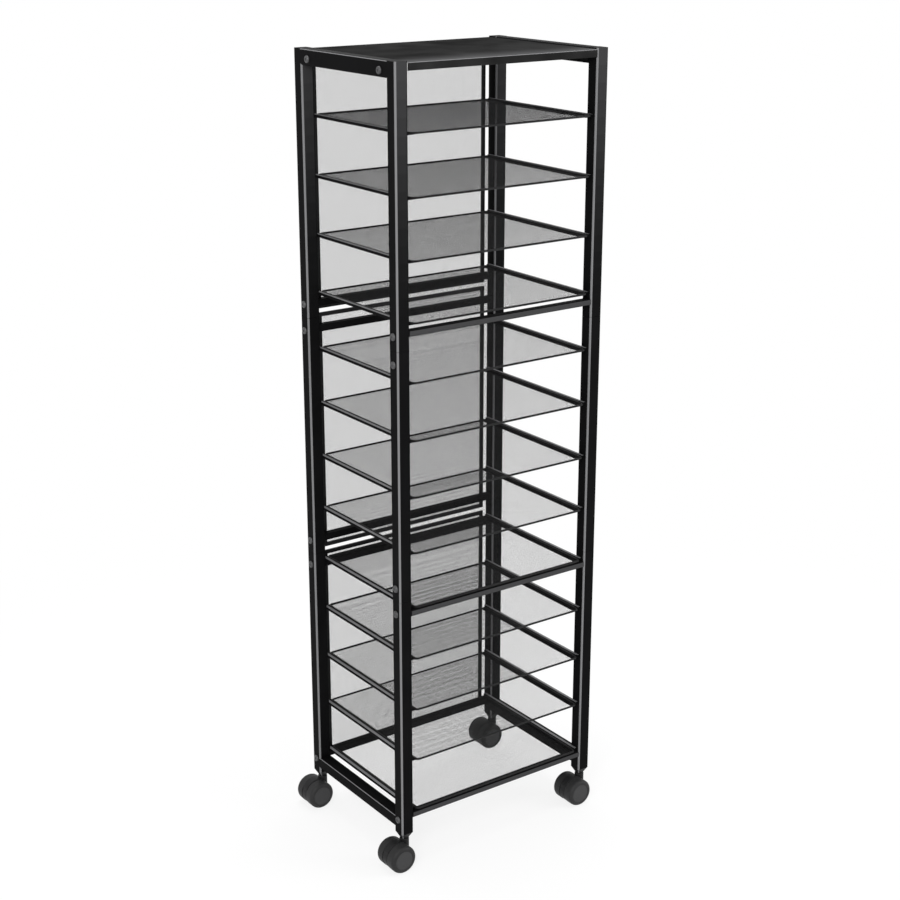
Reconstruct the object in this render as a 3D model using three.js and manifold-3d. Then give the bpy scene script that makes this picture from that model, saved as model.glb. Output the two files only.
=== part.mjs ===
// Mobile file cart: three stacked storeys of square steel tube, thirteen mesh trays that draw out
// to the front on side rails, mesh back panels and four swivel casters. Millimetres, +Z up, front at -Y.

import * as THREE from 'three';
import { mergeVertices } from 'three/addons/utils/BufferGeometryUtils.js';
import Module from 'manifold-3d';

const wasm = await Module();
wasm.setup();

// Overall frame, and the length of the posts in each storey
const FRAME_WIDTH = 402;
const FRAME_DEPTH = 283;
const UPPER_STOREY_HEIGHT = 430;
const MIDDLE_STOREY_HEIGHT = 412;
const LOWER_STOREY_HEIGHT = 419;
const SEAM_GAP = 0.5;

// Posts and their side bars
const POST_SIZE = 22.5;
const POST_WALL = 1.2;
const POST_CORNER = 2.5;
const TOP_BAR_HEIGHT = 25;
const BOTTOM_BAR_HEIGHT = 20;
const BOTTOM_BAR_RISE = 9;
const WELD_SINK = 0.5;

// Trays of each storey: how many, the first one's drop from the head and the last one's rise from the foot
const UPPER_TRAY_COUNT = 4;
const UPPER_TRAY_DROP = 104;
const UPPER_TRAY_RISE = 40;
const MIDDLE_TRAY_COUNT = 4;
const MIDDLE_TRAY_DROP = 54;
const MIDDLE_TRAY_RISE = 78;
const LOWER_TRAY_COUNT = 5;
const LOWER_TRAY_DROP = 14;
const LOWER_TRAY_RISE = 40.5;
const RIM_WIRE = 3.5;
const TRAY_CORNER = 8;
const TRAY_REAR_GAP = 12;

// Wire net of the trays and back panels, drawn as a coarse grid of flat bars between openings
const MESH_THICKNESS = 1;
const NET_BAR = 2;
const NET_BORDER = 3;
const TRAY_COLUMN_COUNT = 4;
const TRAY_ROW_COUNT = 4;
const PANEL_COLUMN_COUNT = 4;
const PANEL_ROW_COUNT = 6;

// Tray rails: a flat tube beside the tray and a thin ledge under its rim
const RAIL_WIDTH = 6;
const RAIL_HEIGHT = 5;
const RAIL_WALL = 1;
const RAIL_CHAMFER = 1;
const RAIL_LAP = 15;
const LEDGE_WIDTH = 9;
const LEDGE_THICKNESS = 1.2;

// Crossbars
const FRONT_BAR_HEIGHT = 10;
const REAR_BAR_HEIGHT = 11.5;
const CROSSBAR_DEPTH = 15;
const CROSSBAR_WALL = 1.2;
const FRONT_UPPER_BAR_DROP = 6;
const REAR_BAR_SETBACK = 3;
const REAR_UPPER_BAR_RISE = 17;
const REAR_LOWER_BAR_DROP = 17.5;
const MIDDLE_HEAD_DROP = 14.5;
const MIDDLE_FOOT_RISE = 18.5;

// Back panels
const PANEL_SIDE_GAP = 8.2;
const PANEL_STRIP = 6.8;
const PANEL_THICKNESS = 4;
const PANEL_EDGE_GAP = 3.6;
const UPPER_PANEL_SEAM_RISE = 5.5;
const LOWER_PANEL_SEAM_DROP = 3;

// Top panel
const SHEET = 1.2;
const PANEL_RECESS = 2;
const LIP_HEIGHT = 12;
const FLANGE_HEIGHT = 18;
const TOP_BOLT_INSET = 18;
const TOP_BOLT_DROP = 15;

// Splice sleeves and bolts
const SLEEVE_LENGTH = 70;
const SLEEVE_WALL = 1.5;
const SPLICE_BOLT_OFFSET = 22;
const BOLT_RADIUS = 2.5;
const BOLT_HEAD_RADIUS = 6;
const BOLT_HEAD_HEIGHT = 2.8;
const BOLT_HEAD_CHAMFER = 1.5;

// Casters
const WHEEL_RADIUS = 24;
const WHEEL_SHOULDER = 6;
const WHEEL_INNER_CHAMFER = 0.6;
const WHEEL_DISH = 0.8;
const WHEEL_RIM = 7;
const CASTER_WIDTH = 50;
const CASTER_TRAIL = 16;
const WEB_WIDTH = 13;
const WEB_RADIUS = 23;
const HOOD_RADIUS = 24.8;
const HOOD_SWEEP = 150;
const BOSS_RADIUS = 8;
const BOSS_HEIGHT = 4;
const STEM_RADIUS = 3.5;
const STEM_REACH = 17;
const AXLE_RADIUS = 3;
const HUB_COVER = 4;
const PLUG_DEPTH = 15;
const PLUG_TAPER_HEIGHT = 10;
const PLUG_FOOT_SIZE = 12;

// Clearances
const FIT_GAP = 0.25;
const SLIDE_GAP = 0.3;
const TRAY_SIDE_GAP = 0.6;
const SWIVEL_GAP = 0.75;
const WHEEL_GAP = 0.6;

// Facets of round pieces
const WHEEL_SIDES = 24;
const PIN_SIDES = 12;
const CORNER_STEPS = 2;

// Derived places
const halfWidth = FRAME_WIDTH / 2;
const halfDepth = FRAME_DEPTH / 2;
const innerX = halfWidth - POST_SIZE;
const innerY = halfDepth - POST_SIZE;
const postX = halfWidth - POST_SIZE / 2;
const postY = halfDepth - POST_SIZE / 2;
const postBore = POST_SIZE - 2 * POST_WALL;
const casterTop = 2 * WHEEL_RADIUS + BOSS_HEIGHT;
const postFoot = casterTop + SWIVEL_GAP + PLUG_TAPER_HEIGHT + FIT_GAP;
const lowerSeam = postFoot + LOWER_STOREY_HEIGHT;
const upperSeam = lowerSeam + MIDDLE_STOREY_HEIGHT;
const topHeight = upperSeam + UPPER_STOREY_HEIGHT;
const railFoot = (trayHeight) => trayHeight - RIM_WIRE / 2 - SLIDE_GAP - LEDGE_THICKNESS;
const panelTop = topHeight - PANEL_RECESS;
const topBarMiddle = topHeight - TOP_BAR_HEIGHT / 2;
const topBoltHeight = topHeight - TOP_BOLT_DROP;
const topBoltY = innerY - TOP_BOLT_INSET;
const boltHole = BOLT_RADIUS + FIT_GAP;
const rearBarFront = innerY + REAR_BAR_SETBACK;
const rearPanelFront = rearBarFront + CROSSBAR_DEPTH + FIT_GAP;

const sides = [
  { name: 'left', sign: -1 },
  { name: 'right', sign: 1 },
];
const ends = [
  { name: 'front', sign: -1 },
  { name: 'rear', sign: 1 },
];
const storeys = [
  {
    name: 'upper',
    foot: upperSeam,
    head: topHeight,
    count: UPPER_TRAY_COUNT,
    drop: UPPER_TRAY_DROP,
    rise: UPPER_TRAY_RISE,
  },
  {
    name: 'middle',
    foot: lowerSeam,
    head: upperSeam,
    count: MIDDLE_TRAY_COUNT,
    drop: MIDDLE_TRAY_DROP,
    rise: MIDDLE_TRAY_RISE,
  },
  {
    name: 'lower',
    foot: postFoot,
    head: lowerSeam,
    count: LOWER_TRAY_COUNT,
    drop: LOWER_TRAY_DROP,
    rise: LOWER_TRAY_RISE,
  },
];
const seams = [
  { name: 'upper', height: upperSeam },
  { name: 'lower', height: lowerSeam },
];

// Heights of a storey's trays, evenly spaced from its first tray to its last
function trayHeights(storey) {
  const first = storey.head - storey.drop;
  const last = storey.foot + storey.rise;
  const pitch = (first - last) / (storey.count - 1);
  return Array.from({ length: storey.count }, (_, place) => first - place * pitch);
}

// Materials
const blackCoat = new THREE.MeshStandardMaterial({ color: 0x1f1f1f, roughness: 0.42, metalness: 0.35 });
const panelCoat = new THREE.MeshStandardMaterial({ color: 0x2c2c2c, roughness: 0.32, metalness: 0.35 });
const blackWire = new THREE.MeshStandardMaterial({ color: 0x161616, roughness: 0.5, metalness: 0.35 });
const boltSteel = new THREE.MeshStandardMaterial({ color: 0x5a5a5a, roughness: 0.38, metalness: 0.8 });
const casterPlastic = new THREE.MeshStandardMaterial({ color: 0x2b2b2b, roughness: 0.55, metalness: 0 });
const wheelPlastic = new THREE.MeshStandardMaterial({ color: 0x3a3a3a, roughness: 0.6, metalness: 0 });
const plainSteel = new THREE.MeshStandardMaterial({ color: 0x8a8a8a, roughness: 0.35, metalness: 0.9 });

// Solids from three.js geometry, joined and cut
function solidOf(source) {
  const geometry = source.clone();
  geometry.deleteAttribute('normal');
  geometry.deleteAttribute('uv');
  const merged = mergeVertices(geometry, 1e-4);
  const index = merged.index.array;
  const triangles = [];
  for (let i = 0; i < index.length; i += 3) {
    const [a, b, c] = [index[i], index[i + 1], index[i + 2]];
    if (a !== b && b !== c && c !== a) {
      triangles.push(a, b, c);
    }
  }
  return new wasm.Manifold(new wasm.Mesh({
    numProp: 3,
    vertProperties: new Float32Array(merged.attributes.position.array),
    triVerts: new Uint32Array(triangles),
  }));
}

function geometryOf(solid) {
  const mesh = solid.getMesh();
  const geometry = new THREE.BufferGeometry();
  geometry.setAttribute('position', new THREE.BufferAttribute(mesh.vertProperties, 3));
  geometry.setIndex(new THREE.BufferAttribute(mesh.triVerts, 1));
  geometry.computeVertexNormals();
  return geometry;
}

function joined(solids) {
  return solids.reduce((whole, solid) => whole.add(solid));
}

function block(x0, x1, y0, y1, z0, z1) {
  const geometry = new THREE.BoxGeometry(Math.abs(x1 - x0), Math.abs(y1 - y0), Math.abs(z1 - z0));
  geometry.translate((x0 + x1) / 2, (y0 + y1) / 2, (z0 + z1) / 2);
  return solidOf(geometry);
}

// A flat outline pushed out along Z, X or Y; the outline lies in XY, in YZ or in XZ
function prism(shape, length, axis) {
  const geometry = new THREE.ExtrudeGeometry(shape, {
    depth: length,
    bevelEnabled: false,
    curveSegments: CORNER_STEPS,
  });
  geometry.translate(0, 0, -length / 2);
  const x = new THREE.Vector3(1, 0, 0);
  const y = new THREE.Vector3(0, 1, 0);
  const z = new THREE.Vector3(0, 0, 1);
  if (axis === 'x') {
    geometry.applyMatrix4(new THREE.Matrix4().makeBasis(y, z, x));
  }
  if (axis === 'y') {
    geometry.applyMatrix4(new THREE.Matrix4().makeBasis(x, z, y.negate()));
  }
  return solidOf(geometry);
}

function rectangle(width, height) {
  const shape = new THREE.Shape();
  shape.moveTo(-width / 2, -height / 2);
  shape.lineTo(width / 2, -height / 2);
  shape.lineTo(width / 2, height / 2);
  shape.lineTo(-width / 2, height / 2);
  shape.closePath();
  return shape;
}

function roundedRectangle(width, height, radius) {
  const x = width / 2 - radius;
  const y = height / 2 - radius;
  const shape = new THREE.Shape();
  shape.absarc(x, y, radius, 0, Math.PI / 2);
  shape.absarc(-x, y, radius, Math.PI / 2, Math.PI);
  shape.absarc(-x, -y, radius, Math.PI, 1.5 * Math.PI);
  shape.absarc(x, -y, radius, 1.5 * Math.PI, 2 * Math.PI);
  shape.closePath();
  return shape;
}

function chamferedRectangle(width, height, chamfer) {
  const x = width / 2;
  const y = height / 2;
  const shape = new THREE.Shape();
  shape.moveTo(x, y - chamfer);
  shape.lineTo(x - chamfer, y);
  shape.lineTo(chamfer - x, y);
  shape.lineTo(-x, y - chamfer);
  shape.lineTo(-x, chamfer - y);
  shape.lineTo(chamfer - x, -y);
  shape.lineTo(x - chamfer, -y);
  shape.lineTo(x, chamfer - y);
  shape.closePath();
  return shape;
}

// The bore is cut a little longer than the tube so that both ends come out open
function tube(outline, bore, length, axis) {
  return prism(outline, length, axis).subtract(prism(bore, length + 2, axis));
}

function pin(radius, length, axis) {
  const geometry = new THREE.CylinderGeometry(radius, radius, length, PIN_SIDES);
  if (axis === 'x') {
    geometry.rotateZ(Math.PI / 2);
  }
  if (axis === 'z') {
    geometry.rotateX(Math.PI / 2);
  }
  return solidOf(geometry);
}

// Dome-headed bolt that points out of a side face, with its shank running in to innerEnd
function sideBolt(side, y, z, innerEnd) {
  const seat = halfWidth + FIT_GAP;
  const shank = seat - innerEnd;
  const profile = [
    [0, 0],
    [BOLT_RADIUS, 0],
    [BOLT_RADIUS, shank],
    [BOLT_HEAD_RADIUS, shank],
    [BOLT_HEAD_RADIUS, shank + BOLT_HEAD_HEIGHT - BOLT_HEAD_CHAMFER],
    [BOLT_HEAD_RADIUS - BOLT_HEAD_CHAMFER, shank + BOLT_HEAD_HEIGHT],
    [0, shank + BOLT_HEAD_HEIGHT],
  ];
  const geometry = new THREE.LatheGeometry(profile.map(([r, h]) => new THREE.Vector2(r, h)), PIN_SIDES);
  geometry.rotateZ(-side * Math.PI / 2);
  geometry.translate(side * innerEnd, y, z);
  return solidOf(geometry);
}

// Welded side frame of one storey: two posts, the side bar if it has one, and the tray rails
function post(storey, side, end) {
  const outline = roundedRectangle(POST_SIZE, POST_SIZE, POST_CORNER);
  const foot = storey.foot === postFoot ? postFoot : storey.foot + SEAM_GAP / 2;
  const head = storey.head === topHeight ? topHeight : storey.head - SEAM_GAP / 2;
  return prism(outline, head - foot, 'z').translate([side * postX, end * postY, (head + foot) / 2]);
}

// The hollow of a post is open at both ends, and closed by the post's own top in the upper storey
function postHollow(storey, side, end) {
  const x = side * postX;
  const y = end * postY;
  const reach = postBore / 2;
  const head = storey.head === topHeight ? topHeight - POST_WALL : storey.head + POST_WALL;
  return block(x - reach, x + reach, y - reach, y + reach, storey.foot - POST_WALL, head);
}

function sideBar(side, height, middle) {
  const outline = roundedRectangle(POST_SIZE, height, POST_CORNER);
  return prism(outline, 2 * (innerY + POST_CORNER), 'y').translate([side * postX, 0, middle]);
}

// The hollow of a side bar runs into the hollows of its posts
function sideBarHollow(side, height, middle) {
  const x = side * postX;
  const reach = postBore / 2;
  const end = innerY + 2 * POST_WALL;
  const rise = height / 2 - POST_WALL;
  return block(x - reach, x + reach, -end, end, middle - rise, middle + rise);
}

function rail(side, trayHeight) {
  const foot = railFoot(trayHeight);
  const head = foot + RAIL_HEIGHT;
  const ledge = foot + LEDGE_THICKNESS;
  const outer = side * (innerX + WELD_SINK);
  const inner = side * (innerX - RAIL_WIDTH);
  const tip = inner - side * LEDGE_WIDTH;
  const outline = new THREE.Shape();
  outline.moveTo(tip, foot);
  outline.lineTo(outer, foot);
  outline.lineTo(outer, head);
  outline.lineTo(inner + side * RAIL_CHAMFER, head);
  outline.lineTo(inner, head - RAIL_CHAMFER);
  outline.lineTo(inner, ledge);
  outline.lineTo(tip, ledge);
  outline.closePath();
  const length = 2 * (innerY + RAIL_LAP);
  const bore = rectangle(RAIL_WIDTH + WELD_SINK - 2 * RAIL_WALL, RAIL_HEIGHT - 2 * RAIL_WALL);
  const middle = [(outer + inner) / 2, 0, (foot + head) / 2];
  const hollow = prism(bore, length + 2 * RAIL_WALL, 'y').translate(middle);
  return prism(outline, length, 'y').subtract(hollow);
}

function spliceHoles(side, storey) {
  const heights = [];
  for (const seam of seams) {
    heights.push(seam.height + SPLICE_BOLT_OFFSET, seam.height - SPLICE_BOLT_OFFSET);
  }
  const holes = [];
  for (const height of heights.filter((z) => z > storey.foot && z < storey.head)) {
    for (const end of ends) {
      const place = [side * (halfWidth - POST_WALL / 2), end.sign * postY, height];
      holes.push(pin(boltHole, 2 * POST_WALL, 'x').translate(place));
    }
  }
  return holes;
}

function topBoltHoles(side) {
  return ends.map((end) => pin(boltHole, POST_SIZE + 2 * POST_WALL, 'x')
    .translate([side * postX, end.sign * topBoltY, topBoltHeight]));
}

function sideFrame(storey, side) {
  const solids = ends.map((end) => post(storey, side, end.sign));
  const cuts = ends.map((end) => postHollow(storey, side, end.sign));
  cuts.push(...spliceHoles(side, storey));
  if (storey.name === 'upper') {
    solids.push(sideBar(side, TOP_BAR_HEIGHT, topBarMiddle));
    cuts.push(sideBarHollow(side, TOP_BAR_HEIGHT, topBarMiddle), ...topBoltHoles(side));
  }
  if (storey.name === 'lower') {
    const middle = postFoot + BOTTOM_BAR_RISE + BOTTOM_BAR_HEIGHT / 2;
    solids.push(sideBar(side, BOTTOM_BAR_HEIGHT, middle));
    cuts.push(sideBarHollow(side, BOTTOM_BAR_HEIGHT, middle));
  }
  const shell = joined(solids).subtract(joined(cuts));
  const rails = trayHeights(storey).map((height) => rail(side, height));
  return joined([shell, ...rails]);
}

// Square sleeve inside two stacked posts, with the bolt above and the bolt below the seam
function splice(seam, side, end) {
  const size = postBore - 2 * FIT_GAP;
  const bore = rectangle(size - 2 * SLEEVE_WALL, size - 2 * SLEEVE_WALL);
  const sleeve = tube(rectangle(size, size), bore, SLEEVE_LENGTH, 'z')
    .translate([side * postX, end * postY, seam.height]);
  const innerEnd = postX + size / 2 - SLEEVE_WALL;
  const heights = [seam.height - SPLICE_BOLT_OFFSET, seam.height + SPLICE_BOLT_OFFSET];
  const bolts = heights.map((height) => sideBolt(side, end * postY, height, innerEnd));
  return joined([sleeve, ...bolts]);
}

// Hollow crossbar between two posts of the front or the rear
function crossbar(end, head) {
  const height = end < 0 ? FRONT_BAR_HEIGHT : REAR_BAR_HEIGHT;
  const bore = rectangle(CROSSBAR_DEPTH - 2 * CROSSBAR_WALL, height - 2 * CROSSBAR_WALL);
  const outline = chamferedRectangle(CROSSBAR_DEPTH, height, CROSSBAR_WALL);
  const middle = (end < 0 ? -halfDepth : rearBarFront) + CROSSBAR_DEPTH / 2;
  return tube(outline, bore, 2 * (innerX - FIT_GAP), 'x').translate([0, middle, head - height / 2]);
}

// Folded top panel: flat sheet with a lip at the front and rear, side flanges and the four bolts in them
function topPanel() {
  const x = innerX - FIT_GAP;
  const y = halfDepth;
  const lipFoot = panelTop - LIP_HEIGHT;
  const flangeFoot = panelTop - FLANGE_HEIGHT;
  const solids = [
    block(-x, x, -y, y, panelTop - SHEET, panelTop),
    block(-x, x, -y, SHEET - y, lipFoot, panelTop),
    block(-x, x, y - SHEET, y, lipFoot, panelTop),
  ];
  for (const side of sides) {
    solids.push(block(side.sign * (x - SHEET), side.sign * x, -innerY, innerY, flangeFoot, panelTop));
    for (const end of ends) {
      solids.push(sideBolt(side.sign, end.sign * topBoltY, topBoltHeight, x - SHEET));
    }
  }
  return joined(solids);
}

// The openings of a net that fills a rectangle, laid out about its middle to be cut from a sheet
function netGaps(width, height, across, along, axis) {
  const gapWidth = (width - (across - 1) * NET_BAR) / across;
  const gapHeight = (height - (along - 1) * NET_BAR) / along;
  const gaps = [];
  for (let column = 0; column < across; column += 1) {
    for (let row = 0; row < along; row += 1) {
      const x = (gapWidth - width) / 2 + column * (gapWidth + NET_BAR);
      const y = (gapHeight - height) / 2 + row * (gapHeight + NET_BAR);
      const place = axis === 'z' ? [x, y, 0] : [x, 0, y];
      gaps.push(prism(rectangle(gapWidth, gapHeight), 2 * MESH_THICKNESS, axis).translate(place));
    }
  }
  return joined(gaps);
}

// Net in a strip frame, standing against the rear crossbars
function backPanel(foot, head) {
  const width = 2 * (innerX - PANEL_SIDE_GAP);
  const height = head - foot;
  const strip = tube(
    rectangle(width, height),
    rectangle(width - 2 * PANEL_STRIP, height - 2 * PANEL_STRIP),
    PANEL_THICKNESS,
    'y',
  );
  const border = 2 * (PANEL_STRIP + NET_BORDER);
  const gaps = netGaps(width - border, height - border, PANEL_COLUMN_COUNT, PANEL_ROW_COUNT, 'y');
  const sheet = prism(rectangle(width - PANEL_STRIP, height - PANEL_STRIP), MESH_THICKNESS, 'y');
  const place = [0, rearPanelFront + PANEL_THICKNESS / 2, (foot + head) / 2];
  return joined([strip, sheet.subtract(gaps)]).translate(place);
}

// Tray: wire rim with rounded corners around a net floor, lying between its two rails
function tray(height) {
  const width = 2 * (innerX - RAIL_WIDTH - TRAY_SIDE_GAP);
  const front = -halfDepth;
  const rear = halfDepth - TRAY_REAR_GAP;
  const depth = rear - front;
  const inner = roundedRectangle(width - 2 * RIM_WIRE, depth - 2 * RIM_WIRE, TRAY_CORNER - RIM_WIRE);
  const rim = tube(roundedRectangle(width, depth, TRAY_CORNER), inner, RIM_WIRE, 'z');
  const border = 2 * (RIM_WIRE + NET_BORDER);
  const gaps = netGaps(width - border, depth - border, TRAY_COLUMN_COUNT, TRAY_ROW_COUNT, 'z');
  const floor = prism(
    roundedRectangle(width - RIM_WIRE, depth - RIM_WIRE, TRAY_CORNER - RIM_WIRE / 2),
    MESH_THICKNESS,
    'z',
  );
  return joined([rim, floor.subtract(gaps)]).translate([0, (front + rear) / 2, height]);
}

// Caster pieces, about the stem axis with the floor at zero
const wheelSpace = WEB_WIDTH / 2 + WHEEL_GAP;
const wheelFace = CASTER_WIDTH / 2;
const hubEnd = wheelFace - HUB_COVER;
const wheelRoom = WHEEL_RADIUS + WHEEL_GAP;

function casterStem() {
  const size = postBore - 2 * FIT_GAP;
  const taperHead = postFoot - FIT_GAP;
  const taperFoot = taperHead - PLUG_TAPER_HEIGHT;
  const taper = new THREE.CylinderGeometry(
    POST_SIZE * Math.SQRT1_2,
    PLUG_FOOT_SIZE * Math.SQRT1_2,
    PLUG_TAPER_HEIGHT,
    4,
  );
  taper.rotateY(Math.PI / 4);
  taper.rotateX(Math.PI / 2);
  taper.translate(0, 0, (taperHead + taperFoot) / 2);
  const stemLength = STEM_REACH + PLUG_TAPER_HEIGHT / 2;
  return joined([
    block(-size / 2, size / 2, -size / 2, size / 2, taperHead - WELD_SINK, postFoot + PLUG_DEPTH),
    solidOf(taper),
    pin(STEM_RADIUS, stemLength, 'z').translate([0, 0, casterTop - STEM_REACH + stemLength / 2]),
  ]);
}

// Upper part of the hood: a sector about the wheel axle, from the front round over the top
function hoodSector() {
  const shape = new THREE.Shape();
  shape.absarc(0, 0, HOOD_RADIUS, 0, THREE.MathUtils.degToRad(HOOD_SWEEP), false);
  shape.lineTo(0, 0);
  shape.closePath();
  const geometry = new THREE.ExtrudeGeometry(shape, {
    depth: WEB_WIDTH,
    bevelEnabled: false,
    curveSegments: WHEEL_SIDES / 2,
  });
  geometry.translate(0, 0, -WEB_WIDTH / 2);
  geometry.rotateX(Math.PI / 2);
  geometry.translate(-CASTER_TRAIL, 0, WHEEL_RADIUS);
  return solidOf(geometry);
}

function axlePin(radius, length) {
  return pin(radius, length, 'y').translate([-CASTER_TRAIL, 0, WHEEL_RADIUS]);
}

function wheelClearance(way) {
  const geometry = new THREE.CylinderGeometry(wheelRoom, wheelRoom, CASTER_WIDTH, WHEEL_SIDES);
  geometry.translate(-CASTER_TRAIL, way * (WEB_WIDTH / 2 + CASTER_WIDTH / 2), WHEEL_RADIUS);
  return solidOf(geometry);
}

function casterHousing() {
  const bossLength = casterTop - WHEEL_RADIUS;
  const boss = pin(BOSS_RADIUS, bossLength, 'z').translate([0, 0, casterTop - bossLength / 2]);
  const socketDepth = STEM_REACH + SWIVEL_GAP;
  const socketMiddle = casterTop - socketDepth / 2;
  const socket = pin(STEM_RADIUS + SLIDE_GAP, socketDepth, 'z').translate([0, 0, socketMiddle]);
  return joined([axlePin(WEB_RADIUS, WEB_WIDTH), hoodSector(), boss])
    .subtract(joined([wheelClearance(-1), wheelClearance(1)]))
    .subtract(joined([socket, axlePin(AXLE_RADIUS + FIT_GAP, CASTER_WIDTH)]));
}

function casterAxle() {
  return axlePin(AXLE_RADIUS, 2 * (hubEnd - WHEEL_GAP));
}

function casterWheel(way) {
  const bore = AXLE_RADIUS + FIT_GAP;
  const shoulder = WHEEL_SHOULDER * (1 - Math.SQRT1_2);
  const profile = [
    [0, hubEnd],
    [bore, hubEnd],
    [bore, wheelSpace],
    [WHEEL_RADIUS - WHEEL_INNER_CHAMFER, wheelSpace],
    [WHEEL_RADIUS, wheelSpace + WHEEL_INNER_CHAMFER],
    [WHEEL_RADIUS, wheelFace - WHEEL_SHOULDER],
    [WHEEL_RADIUS - shoulder, wheelFace - shoulder],
    [WHEEL_RADIUS - WHEEL_SHOULDER, wheelFace],
    [WHEEL_RADIUS - WHEEL_RIM, wheelFace],
    [WHEEL_RADIUS - WHEEL_RIM - WHEEL_DISH, wheelFace - WHEEL_DISH],
    [0, wheelFace - WHEEL_DISH],
  ];
  const geometry = new THREE.LatheGeometry(profile.map(([r, h]) => new THREE.Vector2(r, h)), WHEEL_SIDES);
  if (way < 0) {
    geometry.rotateX(Math.PI);
  }
  geometry.translate(-CASTER_TRAIL, 0, WHEEL_RADIUS);
  return solidOf(geometry);
}

// Assembly
function add(parent, name, solid, material) {
  const mesh = new THREE.Mesh(geometryOf(solid), material);
  mesh.name = name;
  parent.add(mesh);
}

const cart = new THREE.Group();
// The casters trail to the left, so the frame stands right of the middle of the floor space
const leftReach = postX + CASTER_TRAIL + HOOD_RADIUS;
const rightReach = halfWidth + FIT_GAP + BOLT_HEAD_HEIGHT;
cart.position.x = (leftReach - rightReach) / 2;

for (const storey of storeys) {
  for (const side of sides) {
    add(cart, `${side.name}_side_frame_${storey.name}`, sideFrame(storey, side.sign), blackCoat);
  }
}

for (const seam of seams) {
  for (const side of sides) {
    for (const end of ends) {
      const place = `${end.name}_${side.name}_${seam.name}`;
      add(cart, `splice_${place}`, splice(seam, side.sign, end.sign), boltSteel);
    }
  }
}

const trays = storeys.flatMap(trayHeights);
const underRails = (height) => railFoot(height) - FIT_GAP;
const upperBarHead = underRails(trays[UPPER_TRAY_COUNT - 1]);
const lowerBarHead = underRails(trays[UPPER_TRAY_COUNT + MIDDLE_TRAY_COUNT]);
const bottomBarHead = underRails(trays[trays.length - 1]);
add(cart, 'front_crossbar_upper', crossbar(-1, upperBarHead - FRONT_UPPER_BAR_DROP), blackCoat);
add(cart, 'front_crossbar_lower', crossbar(-1, lowerBarHead), blackCoat);
add(cart, 'front_crossbar_bottom', crossbar(-1, bottomBarHead), blackCoat);
const rearUpperHead = upperSeam + REAR_UPPER_BAR_RISE + REAR_BAR_HEIGHT;
const rearLowerHead = lowerSeam - REAR_LOWER_BAR_DROP;
const middleHead = upperSeam - MIDDLE_HEAD_DROP;
const middleFoot = lowerSeam + MIDDLE_FOOT_RISE;
add(cart, 'rear_crossbar_upper', crossbar(1, rearUpperHead), blackCoat);
add(cart, 'rear_crossbar_middle_head', crossbar(1, middleHead), blackCoat);
add(cart, 'rear_crossbar_middle_foot', crossbar(1, middleFoot + REAR_BAR_HEIGHT), blackCoat);
add(cart, 'rear_crossbar_lower', crossbar(1, rearLowerHead), blackCoat);
add(cart, 'rear_crossbar_bottom', crossbar(1, bottomBarHead), blackCoat);

add(cart, 'top_panel', topPanel(), panelCoat);

const panelHead = panelTop - LIP_HEIGHT - FIT_GAP;
const panelFoot = bottomBarHead - REAR_BAR_HEIGHT;
const upperPanelSeam = upperSeam + UPPER_PANEL_SEAM_RISE;
const lowerPanelSeam = lowerSeam - LOWER_PANEL_SEAM_DROP;
const middlePanelFoot = lowerPanelSeam + PANEL_EDGE_GAP;
const middlePanelHead = upperPanelSeam - PANEL_EDGE_GAP;
add(cart, 'back_panel_upper', backPanel(upperPanelSeam + PANEL_EDGE_GAP, panelHead), blackWire);
add(cart, 'back_panel_middle', backPanel(middlePanelFoot, middlePanelHead), blackWire);
add(cart, 'back_panel_lower', backPanel(panelFoot, lowerPanelSeam - PANEL_EDGE_GAP), blackWire);

trays.forEach((height, place) => {
  add(cart, `tray_${String(place + 1).padStart(2, '0')}`, tray(height), blackWire);
});

for (const side of sides) {
  for (const end of ends) {
    const corner = `${end.name}_${side.name}`;
    const caster = new THREE.Group();
    caster.position.set(side.sign * postX, end.sign * postY, 0);
    add(caster, `caster_stem_${corner}`, casterStem(), casterPlastic);
    add(caster, `caster_housing_${corner}`, casterHousing(), casterPlastic);
    add(caster, `caster_axle_${corner}`, casterAxle(), plainSteel);
    add(caster, `caster_wheel_front_${corner}`, casterWheel(-1), wheelPlastic);
    add(caster, `caster_wheel_rear_${corner}`, casterWheel(1), wheelPlastic);
    cart.add(caster);
  }
}

export default cart;
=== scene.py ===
# Mobile file cart, dressed for its portrait: black tube frame, mesh trays and back, swivel casters.
# Metres, +Z up, front towards -Y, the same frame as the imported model.
import math

import bpy
from mathutils import Matrix, Vector


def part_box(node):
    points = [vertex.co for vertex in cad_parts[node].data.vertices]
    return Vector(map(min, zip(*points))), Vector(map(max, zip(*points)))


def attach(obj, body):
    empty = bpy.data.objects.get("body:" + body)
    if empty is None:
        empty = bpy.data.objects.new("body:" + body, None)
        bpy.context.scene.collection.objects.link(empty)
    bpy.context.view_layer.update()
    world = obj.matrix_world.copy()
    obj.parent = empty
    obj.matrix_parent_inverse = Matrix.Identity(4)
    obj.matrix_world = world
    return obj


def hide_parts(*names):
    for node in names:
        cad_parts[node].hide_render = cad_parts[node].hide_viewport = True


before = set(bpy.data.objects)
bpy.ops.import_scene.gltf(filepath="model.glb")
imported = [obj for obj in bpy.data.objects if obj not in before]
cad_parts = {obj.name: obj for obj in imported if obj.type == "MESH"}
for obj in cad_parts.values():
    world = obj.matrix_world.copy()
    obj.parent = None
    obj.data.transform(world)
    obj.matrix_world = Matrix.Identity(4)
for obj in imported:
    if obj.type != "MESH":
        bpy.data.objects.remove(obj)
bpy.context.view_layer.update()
bpy.ops.object.select_all(action="DESELECT")

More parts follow.
